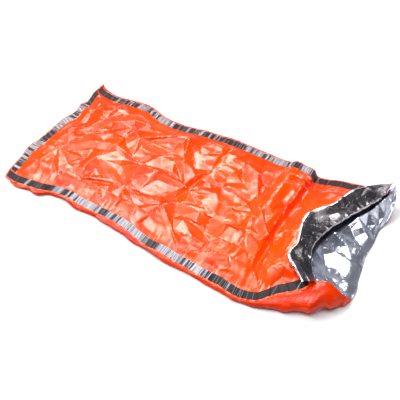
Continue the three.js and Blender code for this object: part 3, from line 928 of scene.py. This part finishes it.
@dataclass
class FilmShape:
    """The laid-out film's shape, which the two films and the tapes share.

    Lengths are millimetres. The cuff's arch is highest at the share of its length that is
    cuff_peak, and would be down again at cuff_end. Kinks are how far the seams wander. The
    facets fade out over seam_fade before a seam, and they are higher by throat_gain beyond
    the place throat.
    """

    middle_columns: int = 116
    foot_rows: int = 8
    fold_rows: int = 10
    cuff_rows: int = 26
    roll_rows: int = 9
    roll_radius: float = 1.6
    roll_turn: float = 80.0
    fold_reach: float = 83.0
    cuff_length: float = 150.0
    cuff_arch: float = 28.0
    cuff_peak: float = 0.93
    cuff_end: float = 1.25
    kink: float = 4.5
    kink_spacing: tuple[float, float] = (35.0, 110.0)
    seam_fade: tuple[float, float] = (40.0, 70.0)
    fold_fade: float = 40.0
    swell: tuple[float, float] = (170.0, 120.0)
    throat: float = 420.0
    throat_gain: float = 0.6
    main: FacetNet = field(
        default_factory=lambda: FacetNet(58.0, 8.0, 11, 1.5, main_creases(), clear=20.0)
    )
    medium: FacetNet = field(default_factory=lambda: FacetNet(36.0, 2.0, 23, 1.6))
    fine: FacetNet = field(default_factory=lambda: FacetNet(20.0, 0.1, 37))
    cuff_facets: FacetNet = field(default_factory=lambda: FacetNet(60.0, 3.0, 29, 0.8))
    near_seam: Line = field(default_factory=lambda: Line(NEAR_SEAM))
    far_seam: Line = field(default_factory=lambda: Line(FAR_SEAM))
    foot_edge: Line = field(default_factory=lambda: Line(FOOT_EDGE))
    cuff_fold: Line = field(default_factory=lambda: Line(CUFF_FOLD))
    cuff_rim: Line = field(default_factory=lambda: Line(CUFF_RIM))

    def __post_init__(self) -> None:
        """Lays out the top film's grid, from which all the pieces are made."""
        margin = np.linspace(TAPE_INSET, LAP, self.foot_rows)
        self.edge = np.concatenate([[0.0], margin])
        body = np.linspace(LAP, BODY_LENGTH, int((BODY_LENGTH - LAP) / PITCH))[1:]
        self.distances = np.concatenate([self.edge, body])
        self.body_rows = len(self.distances)
        base, across, along, side = self._base()
        self.across, self.along = across, along
        normals = grid_normals(base)
        self.top = base + normals * self._relief(base, across, along, side)[..., None]
        low = self.top[: self.body_rows, :, 2]
        self.top[: self.body_rows, :, 2] = np.maximum(low, LEAST_HEIGHT)

    def seams(self, distance: np.ndarray) -> tuple[np.ndarray, np.ndarray]:
        """Points of the two side seams, with small kinks.

        Args:
            distance: places along the film from its foot.

        Returns:
            Points of the near seam and of the far one.
        """
        v = distance / BODY_LENGTH
        lines = self.near_seam.at(v), self.far_seam.at(v)
        rng = np.random.default_rng(61)
        for line in lines:
            places = np.cumsum(rng.uniform(*self.kink_spacing, 40))
            for axis, size in ((1, self.kink), (2, 0.8 * self.kink)):
                line[:, axis] += np.interp(distance, places, rng.uniform(-size, size, 40))
            line[:, 2] = np.maximum(line[:, 2], LEAST_HEIGHT)
        return lines

    def _shares(self, width: np.ndarray) -> np.ndarray:
        """Shares across rows of the given widths, with columns at the tape's edges."""
        edges = self.edge[None, :] / width[:, None]
        last = edges[:, -1:]
        step = np.arange(1, self.middle_columns)[None, :] / self.middle_columns
        middle = mix(last, 1.0 - last, step)
        return np.concatenate([edges, middle, 1.0 - edges[:, ::-1]], axis=1)

    def body_points(self, share: np.ndarray, distance: np.ndarray) -> np.ndarray:
        """The top film's outer face without its creases.

        Args:
            share: share across each row, rows by columns.
            distance: distance of each row from the foot.

        Returns:
            Points, rows by columns by 3.
        """
        v = distance / BODY_LENGTH
        near, far = self.seams(distance)
        width = np.linalg.norm(far - near, axis=-1)[:, None]
        points = mix(near[:, None], far[:, None], share[..., None])
        by_foot = 1.0 - smooth(distance / FOOT_WAVES)
        by_mouth = smooth((v - MOUTH_START) / (1.0 - MOUTH_START))
        points = points + self.foot_edge.bow(share) * by_foot[:, None, None]
        points = points + self.cuff_fold.bow(share) * by_mouth[:, None, None]
        from_seam = np.minimum(share, 1.0 - share) * width
        inside = smooth((from_seam - MARGIN_FLAT) / EDGE_RISE)
        points[..., 2] += read_table(CROWN, distance)[:, None] * inside
        return points

    def _base(self) -> tuple[np.ndarray, np.ndarray, np.ndarray, np.ndarray]:
        """The top film's grid from the foot to the rolled edge of its cuff.

        Returns:
            The points, and for each its places across and along the film and its
            distance from the nearer side seam.
        """
        near, far = self.seams(self.distances)
        width = np.linalg.norm(far - near, axis=-1)
        share = self._shares(width)
        rows = [*self.body_points(share, self.distances)]
        along = [*self.distances]
        last = rows[-1]
        back = int(np.searchsorted(self.distances, BODY_LENGTH - self.fold_reach))
        forward = last - rows[back]
        forward[:, 2] = 0.0
        forward /= np.linalg.norm(forward, axis=1, keepdims=True)
        up = np.array([0.0, 0.0, 1.0])
        centre = last + up * CUFF_RADIUS
        for k in range(1, self.fold_rows + 1):
            angle = math.pi * k / self.fold_rows - math.pi / 2
            rows.append(
                centre + CUFF_RADIUS * (forward * math.cos(angle) + up * math.sin(angle))
            )
            along.append(BODY_LENGTH + CUFF_RADIUS * (angle + math.pi / 2))
        turned = rows[-1]
        rim = self.cuff_rim.at(share[-1])
        start = along[-1]
        for k in range(1, self.cuff_rows + 1):
            part = k / self.cuff_rows
            row = mix(turned, rim, part)
            row[:, 2] += self.cuff_arch * min(part / self.cuff_peak, 1.0) * (
                1.0 - smooth((part - self.cuff_peak) / (self.cuff_end - self.cuff_peak))
            )
            rows.append(row)
            along.append(start + self.cuff_length * part)
        outward = rows[-1] - rows[-6]
        outward[:, 2] = 0.0
        outward /= np.linalg.norm(outward, axis=1, keepdims=True)
        from_end = np.minimum(share[-1], 1.0 - share[-1])[:, None]
        radius = self.roll_radius * (0.15 + 0.85 * smooth(from_end / 0.10))
        axis = rows[-1] - up * radius
        for k in range(1, self.roll_rows + 1):
            angle = math.radians(self.roll_turn) * k / self.roll_rows
            rows.append(axis + radius * (outward * math.sin(angle) + up * math.cos(angle)))
            along.append(start + self.cuff_length + self.roll_radius * angle)
        grid = np.array(rows)
        extra = len(rows) - len(share)
        share = np.vstack([share, np.repeat(share[-1:], extra, axis=0)])
        width = np.concatenate([width, np.full(extra, width[-1])])[:, None]
        across = share * width
        along = np.repeat(np.array(along)[:, None], grid.shape[1], axis=1)
        side = np.minimum(share, 1.0 - share) * width
        return grid, across, along, side

    def _relief(
        self, base: np.ndarray, across: np.ndarray, along: np.ndarray, side: np.ndarray
    ) -> np.ndarray:
        """Height of the creases, facets and puckers over the smooth film.

        Args:
            base: the smooth grid.
            across: places across the film.
            along: places along the film.
            side: distance from the nearer side seam.

        Returns:
            The height along the normal of each point.
        """
        x, y = base[..., 0], base[..., 1]
        body = 1.0 - smooth((along - BODY_LENGTH + 50.0) / self.fold_fade)
        cuff = smooth((along - BODY_LENGTH - 40.0) / self.fold_fade)
        start, fade = self.seam_fade
        inner = smooth((side - start) / fade) * smooth((along - start) / fade)
        waves = np.sin(x / self.swell[0] + 1.0) * np.sin(y / self.swell[1] + 0.4)
        lively = 0.75 + 0.45 * waves
        facets = self.main.lift(y + FLOOR_CORNER[0], x + FLOOR_CORNER[1])
        in_throat = smooth((x - self.throat) / 120.0)
        relief = facets * inner * body * (1.0 + self.throat_gain * in_throat)
        relief += self.medium.lift(across, along) * lively * (0.55 + 0.45 * inner) * body
        relief += self.fine.lift(across, along) * (0.5 + 0.5 * inner) * (0.4 + 0.6 * body)
        relief -= self.cuff_facets.lift(across, along) * cuff
        relief += self._seam_puckers(across, along, side)
        relief += self._cuff_puckers(across, along)
        return relief

    def _seam_puckers(
        self, across: np.ndarray, along: np.ndarray, side: np.ndarray
    ) -> np.ndarray:
        """Height of the small folds that leave the three seams."""
        relief = np.zeros_like(across)
        in_body = 1.0 - smooth((along - BODY_LENGTH + 30.0) / 40.0)
        near, far = (
            puckers(60, 1790, (13, 38), (45, 190), (8, 17), (2.2, 5.5), 25, seed)
            for seed in (71, 72)
        )
        foot = puckers(40, 870, (16, 44), (40, 150), (8, 16), (1.5, 4.0), 22, 73)
        seams = [
            (across, along, near, in_body),
            (across[:, -1:] - across, along, far, in_body),
            (along, across, foot, 1.0),
        ]
        for from_edge, place, rows, hold in seams:
            root = smooth(from_edge / 16.0 + 0.25)
            for row in rows:
                share = np.clip(from_edge / row.reach, 0.0, 1.0)
                gap = np.abs(place - row.at - row.slant * share)
                flank = np.clip(1.0 - gap / (row.half * (1.15 - 0.7 * share)), 0.0, 1.0)
                relief += row.height * flank**1.2 * root * (1.0 - share) * hold
        return relief

    def _cuff_puckers(self, across: np.ndarray, along: np.ndarray) -> np.ndarray:
        """Height of the crumples along the cuff's fold and its rolled edge."""
        relief = np.zeros_like(across)
        from_fold = along - BODY_LENGTH - 10.0
        for row in puckers(20, 760, (16, 42), (35, 120), (8, 15), (2.5, 6.0), 26, 81):
            share = np.clip(np.abs(from_fold) / row.reach, 0.0, 1.0)
            gap = np.abs(across - row.at - row.slant * from_fold / row.reach)
            flank = np.clip(1.0 - gap / row.half, 0.0, 1.0)
            relief -= row.height * flank**1.2 * (1.0 - share)
        from_rim = np.abs(along - BODY_LENGTH - math.pi * CUFF_RADIUS - self.cuff_length)
        for row in puckers(20, 760, (50, 110), (40, 100), (14, 26), (2.0, 4.5), 30, 82):
            share = np.clip(from_rim / row.reach, 0.0, 1.0)
            gap = np.abs(across - row.at - row.slant * share)
            flank = np.clip(1.0 - gap / row.half, 0.0, 1.0)
            relief -= row.height * flank * (1.0 - share)
        return relief


@dataclass
class TopFilm:
    """The upper sheet, whose end is turned back as a cuff."""

    shape: FilmShape
    name: str = "film_top"

    def build(self, outside: bpy.types.Material, inside: bpy.types.Material) -> bpy.types.Object:
        """Args:
            outside: the orange finish.
            inside: the silver finish.

        Returns:
            The piece.
        """
        piece = Sheet(self.name, self.shape.top, FILM, 1).build([outside, inside])
        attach(piece, BODY)
        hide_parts("top_film")
        return piece


@dataclass
class BottomFilm:
    """The lower sheet, which curls up at its sides and is the floor of the open mouth.

    The mouth's crumples fade out towards its rim, from the share rim_fade on. Columns round
    a long edge are about nose_pitch apart.
    """

    shape: FilmShape
    name: str = "film_bottom"
    nose_steps: int = 20
    floor_columns: int = 100
    mouth_rows: int = 38
    nose_pitch: float = 6.3
    rim_fade: tuple[float, float] = (0.72, 0.3)
    full_bend: float = 0.45
    layers: float = 3 * FILM + 2 * GAP + 0.5
    crumple: FacetNet = field(
        default_factory=lambda: FacetNet(46.0, 10.0, 51, 1.0, MOUTH_CREASES, level=15.0)
    )
    crinkle: FacetNet = field(default_factory=lambda: FacetNet(30.0, 3.0, 52))
    ridges: FacetNet = field(default_factory=lambda: FacetNet(26.0, 8.0, 53, 7.0))

    def _nose(
        self, cut: np.ndarray, bulge: np.ndarray, floor: np.ndarray, side: int
    ) -> np.ndarray:
        """Points round a long edge, from the cut edge out to the bulge and to the floor.

        Args:
            cut: the seam's cut edge, rows by 3.
            bulge: how far out each row reaches, as y.
            floor: height of the underside.
            side: -1 for the near edge and 1 for the far one.

        Returns:
            Points, rows by steps by 3.
        """
        step = np.arange(1, self.nose_steps + 1)
        angle = (math.pi * step / self.nose_steps)[None, :]
        out = np.abs(cut[:, 1] - bulge)[:, None]
        reach = np.where(step * 2 <= self.nose_steps, out, CURL)
        y = bulge[:, None] - side * reach * (1.0 - np.sin(angle))
        z = mix(floor[:, None], cut[:, 2:3], (1.0 + np.cos(angle)) / 2)
        x = np.repeat(cut[:, :1], self.nose_steps, axis=1)
        return np.stack([x, y, z], axis=-1)

    @staticmethod
    def _near_bulge(cut: np.ndarray) -> np.ndarray:
        """How far out the near side reaches at each row, as y."""
        table = [(s.x, s.y) for s in NEAR_BULGE]
        return np.minimum(read_table(table, cut[:, 0]), cut[:, 1] - LEAST_BULGE)

    def _body(self) -> np.ndarray:
        """Rows from the foot to the cuff's fold."""
        shape = self.shape
        rows, lap = shape.body_rows, len(shape.edge)
        top = shape.top[:rows]
        margins = shape.top - (FILM + GAP) * grid_normals(shape.top)
        near_lap = margins[:rows, :lap][:, ::-1]
        far_lap = margins[:rows, -lap:][:, ::-1]
        near, far = near_lap[:, -1], far_lap[:, 0]
        slope = 1.0 - smooth((shape.distances - LAP) / FOOT_SLOPE)
        lift = np.maximum(top[..., 2] - self.layers, 0.0) * slope[:, None]
        near_nose = self._nose(near, self._near_bulge(near), lift[:, 0], -1)
        far_nose = self._nose(far, far[:, 1] + FAR_BULGE, lift[:, -1], 1)[:, ::-1]
        step = np.arange(1, self.floor_columns) / self.floor_columns
        start, end = near_nose[:, -1], far_nose[:, 0]
        floor = mix(start[:, None], end[:, None], step[None, :, None])
        for row in range(rows):
            y = top[row, :, 1]
            floor[row, :, 0] = np.interp(floor[row, :, 1], y, top[row, :, 0])
            floor[row, :, 2] = np.interp(floor[row, :, 1], y, lift[row])
        return np.concatenate([near_lap, near_nose, floor, far_nose, far_lap], axis=1)

    def _mouth(self, last: np.ndarray) -> np.ndarray:
        """Rows from the cuff's fold to the rim."""
        lap = self.shape.edge[::-1]
        part = np.arange(1, self.mouth_rows + 1) / self.mouth_rows
        narrow = mix(1.0, CREST_WIDTH, smooth(part / CREST_START))[:, None]
        near_top, far_top = Line(NEAR_CREST).at(part), Line(FAR_CREST).at(part)
        near_lap = np.repeat(near_top[:, None], len(lap), axis=1)
        near_lap[..., 1] += lap[None, :] * narrow
        far_lap = np.repeat(far_top[:, None], len(lap), axis=1)
        far_lap[..., 1] -= lap[None, ::-1] * narrow
        floor = np.zeros(len(part))
        near_nose = self._nose(near_top, self._near_bulge(near_top), floor, -1)
        rest = last[len(lap) + self.nose_steps : -len(lap)]
        rim = Line(MOUTH_RIM).at(np.arange(1, len(rest) + 1) / len(rest))
        spread = mix(rest[None], rim[None], part[:, None, None])
        return np.concatenate([near_lap, near_nose, spread, far_lap], axis=1)

    def _crumpled(self, grid: np.ndarray) -> np.ndarray:
        """Adds the crumples of the open mouth, the walls and the underside."""
        rows = self.shape.body_rows
        lap = len(self.shape.edge)
        across, along = grid[..., 1] + FLOOR_CORNER[0], grid[..., 0] + FLOOR_CORNER[1]
        finer = self.crinkle.lift(across, along)
        part = np.zeros(len(grid))
        part[rows:] = np.arange(1, self.mouth_rows + 1) / self.mouth_rows
        fold = grid[rows - 1 : rows]
        beyond = np.where(part[:, None] > 0, np.linalg.norm(grid - fold, axis=-1), 0.0)
        beyond[:rows] = (self.shape.distances - BODY_LENGTH)[:, None]
        opened = smooth((beyond + FOLD_SLOPE) / FOLD_SLOPE)
        opened *= (1.0 - smooth((part - self.rim_fade[0]) / self.rim_fade[1]))[:, None]
        raised = self.crumple.lift(across, along) - 0.6 * grid[..., 2]
        up = np.maximum(raised + finer, 0.0) * opened
        under = np.maximum(0.7 * finer + 0.4 * self.shape.medium.lift(across, along), 0.0)
        columns = np.arange(grid.shape[1])
        floor = (columns >= lap + self.nose_steps) & (columns < grid.shape[1] - lap)
        lift = np.where(floor[None, :], up + under * (1.0 - opened), 0.0)
        made = grid.copy()
        made[..., 2] += lift
        wall = (columns >= lap) & (columns < lap + self.nose_steps)
        hold = np.sin(math.pi * (columns - lap + 1) / (self.nose_steps + 1))
        round_edge = np.clip(columns - lap, 0, self.nose_steps)[None, :] * self.nose_pitch
        long_folds = self.ridges.lift(np.repeat(round_edge, len(grid), axis=0), along)
        push = (long_folds + 0.4 * finer) * np.where(wall, hold, 0.0)[None, :]
        made += grid_normals(grid) * push[..., None]
        made[..., 2] = np.maximum(made[..., 2], 0.0)
        return made

    def build(self, outside: bpy.types.Material, inside: bpy.types.Material) -> bpy.types.Object:
        """Args:
            outside: the orange finish.
            inside: the silver finish.

        Returns:
            The piece.
        """
        body = self._body()
        grid = self._crumpled(np.concatenate([body, self._mouth(body[-1])]))
        sheet = Sheet(self.name, grid, FILM, -1, self.full_bend)
        piece = sheet.build([outside, inside])
        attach(piece, BODY)
        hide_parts("bottom_film")
        return piece


class Seam(Enum):
    """The three taped seams."""

    NEAR = "near"
    FAR = "far"
    FOOT = "foot"


@dataclass
class SeamTape:
    """A tape that lies on the top film along one seam."""

    shape: FilmShape
    seam: Seam
    thickness: float = 0.4

    def grid(self) -> np.ndarray:
        """Points of the tape's upper face, with its rows along the film."""
        shape = self.shape
        lap = len(shape.edge)
        last = shape.top.shape[1]
        end = int(np.searchsorted(shape.distances, BODY_LENGTH - TAPE_END))
        raised = shape.top + (GAP + self.thickness) * grid_normals(shape.top)
        if self.seam is Seam.NEAR:
            return raised[1:end, 1:lap]
        if self.seam is Seam.FAR:
            return raised[1:end, last - lap : last - 1]
        return raised[1:lap, lap : last - lap]

    def build(self, finish: bpy.types.Material) -> bpy.types.Object:
        """Args:
            finish: the tape's material.

        Returns:
            The piece.
        """
        name = f"tape_{self.seam.value}"
        piece = Sheet(name, self.grid(), self.thickness, 1).build([finish])
        mark_tape(piece.data, self.seam)
        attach(piece, BODY)
        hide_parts(f"seam_tape_{self.seam.value}")
        return piece


# Places along each tape, and how often it is silver there
TAPE_SHINE = {
    Seam.NEAR: [
        (-1000, 0.1), (-700, 0.2), (-560, 0.7), (-50, 0.8), (150, 0.5), (420, 0.35),
        (560, 0.05), (750, 0.0),
    ],
    Seam.FAR: [
        (-1040, 0.1), (-900, 0.15), (-700, 0.5), (-300, 0.4), (0, 0.3), (300, 0.6),
        (420, 0.7), (500, 0.3), (560, 0.0), (850, 0.0),
    ],
    Seam.FOOT: [(-430, 0.3), (-200, 0.6), (100, 0.5), (330, 0.2), (490, 0.05)],
}


def mark_tape(mesh: bpy.types.Mesh, seam: Seam) -> None:
    """Stores each point's place along a tape, and how often the tape is silver there.

    Args:
        mesh: the tape, or lines across it.
        seam: the seam that it follows.
    """
    co = np.zeros(len(mesh.vertices) * 3)
    mesh.vertices.foreach_get("co", co)
    x, y = co[0::3] / MM - ORIGIN[0], co[1::3] / MM - ORIGIN[1]
    place = y if seam is Seam.FOOT else x
    marks = {"shine": read_table(TAPE_SHINE[seam], place), "run": place * MM}
    for name, values in marks.items():
        store = mesh.attributes.new(name, "FLOAT", "POINT")
        store.data.foreach_set("value", values.astype(np.float32))


@dataclass
class TapeRibs:
    """Small ribs across a tape, where its film is drawn up along the seam.

    Lines across the tape are laid out here. Geometry Nodes pick some of them at random, more
    where the tape is silver, and sweep a flat section along each.
    """

    shape: FilmShape
    seam: Seam
    spacing: float = 5.0
    width: float = 2.8
    height: float = 0.9
    share: float = 0.75
    slant: float = 3.0
    jitter: float = 0.35
    seed: int = 17

    def _lines(self) -> bpy.types.Object:
        """Lines across the tape, each with a number of its own."""
        grid = SeamTape(self.shape, self.seam).grid()
        if self.seam is Seam.FOOT:
            grid = grid.transpose(1, 0, 2)
        rows = len(grid)
        pitch = np.linalg.norm(np.diff(grid[:, 4], axis=0), axis=1).mean()
        rng = np.random.default_rng(self.seed)
        at = np.arange(2.0, rows - 3.0, self.spacing / pitch)
        at = at + rng.uniform(-self.jitter, self.jitter, len(at)) * self.spacing / pitch
        lean = rng.uniform(-self.slant, self.slant, (len(at), 1)) / pitch
        place = np.clip(at[:, None] + lean * np.linspace(-1, 1, grid.shape[1]), 0, rows - 1.001)
        low = place.astype(int)
        column = np.arange(grid.shape[1])[None, :]
        points = mix(grid[low, column], grid[low + 1, column], (place - low)[..., None])
        count = points.shape[1]
        first = np.arange(len(points))[:, None] * count + np.arange(count - 1)[None, :]
        edges = np.stack([first.ravel(), first.ravel() + 1], -1)
        mesh = bpy.data.meshes.new("rib_lines")
        mesh.from_pydata(((points.reshape(-1, 3) + ORIGIN) * MM).tolist(), edges.tolist(), [])
        mark_tape(mesh, self.seam)
        store = mesh.attributes.new("rib", "INT", "POINT")
        store.data.foreach_set("value", np.repeat(np.arange(len(points)), count))
        lines = bpy.data.objects.new("rib_lines", mesh)
        bpy.context.scene.collection.objects.link(lines)
        return lines

    def _tree(self) -> tuple[bpy.types.NodeTree, dict[str, str]]:
        """The tree that makes the ribs.

        Returns:
            The tree, and the identifier of each of its inputs by name.
        """
        tree = bpy.data.node_groups.new("tape_ribs", "GeometryNodeTree")
        kinds = {
            "Lines": "NodeSocketGeometry", "Width": "NodeSocketFloat",
            "Height": "NodeSocketFloat", "Share": "NodeSocketFloat", "Seed": "NodeSocketInt",
            "Finish": "NodeSocketMaterial",
        }
        names = {}
        for name, kind in kinds.items():
            socket = tree.interface.new_socket(name=name, in_out="INPUT", socket_type=kind)
            names[name] = socket.identifier
        tree.interface.new_socket(name="Ribs", in_out="OUTPUT", socket_type="NodeSocketGeometry")
        graph = Graph(tree)
        given = {name: graph.node("NodeGroupInput", output=name) for name in kinds}
        number = graph.node(
            "GeometryNodeInputNamedAttribute", {"data_type": "INT"}, {"Name": "rib"}
        )
        silver = graph.node(
            "GeometryNodeInputNamedAttribute", {"data_type": "FLOAT"}, {"Name": "shine"}
        )
        draw = graph.node(
            "FunctionNodeRandomValue", {"data_type": "FLOAT"},
            {"ID": number, "Seed": given["Seed"]}, 1,
        )
        bare = graph.node(
            "FunctionNodeCompare", {"data_type": "FLOAT", "operation": "GREATER_THAN"},
            {0: draw, 1: silver * given["Share"]},
        )
        kept = graph.node(
            "GeometryNodeDeleteGeometry", {"domain": "POINT"},
            {"Geometry": given["Lines"], "Selection": bare},
        )
        paths = graph.node("GeometryNodeMeshToCurve", {}, {"Mesh": kept})
        upright = graph.node("GeometryNodeSetCurveNormal", {"mode": "Z_UP"}, {"Curve": paths})
        size = graph.node(
            "FunctionNodeRandomValue", {"data_type": "FLOAT"},
            {2: 0.5, 3: 1.3, "ID": number, "Seed": given["Seed"] + 1.0}, 1,
        )
        section = graph.node(
            "GeometryNodeCurvePrimitiveQuadrilateral", {"mode": "RECTANGLE"},
            {"Width": given["Width"], "Height": given["Height"]},
        )
        swept = graph.node(
            "GeometryNodeCurveToMesh", {},
            {"Curve": upright, "Profile Curve": section, "Scale": size, "Fill Caps": True},
        )
        flat = graph.node(
            "GeometryNodeSetShadeSmooth", {}, {"Geometry": swept, "Shade Smooth": False}
        )
        real = graph.node("GeometryNodeRealizeInstances", {}, {"Geometry": flat})
        dressed = graph.node(
            "GeometryNodeSetMaterial", {}, {"Geometry": real, "Material": given["Finish"]}
        )
        graph.node("NodeGroupOutput", {}, {"Ribs": dressed}, None)
        return tree, names

    def build(self, finish: bpy.types.Material) -> bpy.types.Object:
        """Args:
            finish: the ribs' material.

        Returns:
            The piece.
        """
        lines = self._lines()
        tree, names = self._tree()
        ribs = lines.modifiers.new("ribs", "NODES")
        ribs.node_group = tree
        values = {
            "Width": self.width * MM, "Height": self.height * MM, "Share": self.share,
            "Seed": self.seed, "Finish": finish,
        }
        for name, value in values.items():
            ribs[names[name]] = value
        made = lines.evaluated_get(bpy.context.evaluated_depsgraph_get())
        mesh = bpy.data.meshes.new_from_object(made)
        mesh.name = f"tape_ribs_{self.seam.value}"
        lines.modifiers.remove(ribs)
        bpy.data.objects.remove(lines)
        piece = bpy.data.objects.new(mesh.name, mesh)
        bpy.context.scene.collection.objects.link(piece)
        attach(piece, BODY)
        return piece


class SoftBox(NamedTuple):
    """A light that fades outwards: round from the camera, up, spread, and how bright it looks."""

    azimuth: float
    elevation: float
    spread: float
    radiance: float
    tint: tuple = (1.0, 1.0, 1.0)


SOFT_BOXES = [
    SoftBox(180, 47, 6.0, 18.0),
    SoftBox(-118, 50, 9.5, 18.0),
    SoftBox(180, 88, 10, 10.0),
    SoftBox(203, 38, 3.5, 15.0),
    SoftBox(60, 22, 10, 1.2),
]


@dataclass
class Studio:
    """The pale floor, the soft lights and the camera."""

    target: tuple = (0.0621, -0.0434, 0.0)
    azimuth: float = 32.0
    elevation: float = 49.3
    distance: float = 3.2
    lens: float = 54.0
    floor_size: float = 30.0
    floor_drop: float = 0.0005
    horizon: tuple = (0.34, 0.35, 0.42, 1.0)
    ceiling: tuple = (0.04, 0.04, 0.05, 1.0)

    @staticmethod
    def _way(azimuth: float, elevation: float) -> tuple[float, float, float]:
        """The direction under two angles in degrees."""
        a, e = math.radians(azimuth), math.radians(elevation)
        return math.sin(a) * math.cos(e), -math.cos(a) * math.cos(e), math.sin(e)

    def camera(self) -> None:
        """Makes the camera and uses it."""
        data = bpy.data.cameras.new("camera")
        data.lens = self.lens
        data.sensor_width = 36.0
        thing = bpy.data.objects.new("camera", data)
        way = Vector(self._way(self.azimuth, self.elevation))
        thing.location = Vector(self.target) + way * self.distance
        thing.rotation_euler = (-way).to_track_quat("-Z", "Y").to_euler()
        bpy.context.scene.collection.objects.link(thing)
        bpy.context.scene.camera = thing

    def floor(self, finish: bpy.types.Material) -> None:
        """Lays the floor."""
        half = self.floor_size / 2
        signs = [(-1, -1), (1, -1), (1, 1), (-1, 1)]
        corners = [(x * half, y * half, -self.floor_drop) for x, y in signs]
        mesh = bpy.data.meshes.new("floor")
        mesh.from_pydata(corners, [], [(0, 1, 2, 3)])
        mesh.materials.append(finish)
        thing = bpy.data.objects.new("floor", mesh)
        bpy.context.scene.collection.objects.link(thing)

    def surroundings(self) -> None:
        """Makes the room: pale low walls, a dark ceiling and soft boxes with faded edges."""
        world = bpy.data.worlds.new("surround")
        world.use_nodes = True
        graph = Graph(world.node_tree)
        way = graph.node("ShaderNodeTexCoord", output="Generated")
        height = graph.node("ShaderNodeSeparateXYZ", {}, {0: way}, "Z")
        colour = graph.blend(height.rise(0.16, 0.52), self.horizon, self.ceiling)
        for box in SOFT_BOXES:
            aim = self._way(self.azimuth + box.azimuth, box.elevation)
            toward = graph.vector("DOT_PRODUCT", way, aim, output=1)
            spread = math.radians(box.spread) ** 2
            shine = math.e ** ((toward - 1.0) * (1.0 / spread)) * box.radiance
            colour = graph.vector("ADD", colour, graph.vector("SCALE", box.tint, scale=shine))
        background = world.node_tree.nodes["Background"]
        world.node_tree.links.new(colour.socket, background.inputs["Color"])
        bpy.context.scene.world = world

    def build(self) -> None:
        """Sets up the whole studio."""
        self.surroundings()
        bpy.context.scene.view_settings.view_transform = "Standard"
        self.floor(FloorFinish().material())
        self.camera()


def main() -> None:
    """Builds the bag and the studio."""
    logging.basicConfig(level=logging.INFO, format="%(message)s")
    smoke, drawn_up = TapeFinish().material(), RIB_FINISH.material()
    shape = FilmShape()
    top = TopFilm(shape).build(OrangeFinish().material(), CUFF_SILVER_IN_PAINTED_SHADE.material())
    bottom = BottomFilm(shape).build(ORANGE_IN_PAINTED_SHADE.material(), SilverFinish().material())
    tapes = {seam: SeamTape(shape, seam).build(smoke) for seam in Seam}
    ribs = {seam: TapeRibs(shape, seam).build(drawn_up) for seam in Seam}
    for piece in (top, bottom, *tapes.values(), *ribs.values()):
        log.info("%s: %d faces", piece.name, len(piece.data.polygons))
    Studio().build()
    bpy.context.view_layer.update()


if __name__ == "__main__":
    main()
